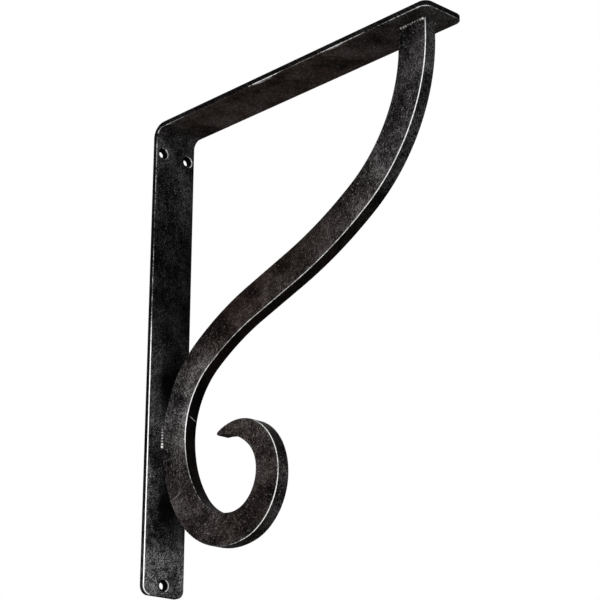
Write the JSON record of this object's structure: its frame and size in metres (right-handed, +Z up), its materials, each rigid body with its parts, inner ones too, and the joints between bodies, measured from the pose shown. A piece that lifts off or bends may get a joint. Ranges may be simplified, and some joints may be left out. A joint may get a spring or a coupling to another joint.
{
  "type": "shelf bracket",
  "caption": "Black steel shelf bracket: a flat bar bent into an L, stiffened by an S-shaped scroll brace and drilled for countersunk wall screws.",
  "frame": {"origin": "on the wall plane, midway between the two upper screw holes", "axes": "+X out from the wall along the shelf leg, +Y across the strap's width, +Z up"},
  "size_m": [0.1998, 0.026, 0.2516],
  "materials": {
    "black_steel": "satin black, scuffed, rubbed to bare metal along the edges",
    "rubbed_weld": "rippled weld bead, blackened, rubbed bright on its crests"
  },
  "bodies": {
    "root": {"wall_strap": "black_steel", "scroll_brace": "black_steel", "shelf_welds": "rubbed_weld", "touch_welds": "rubbed_weld"}
  },
  "joints": []
}
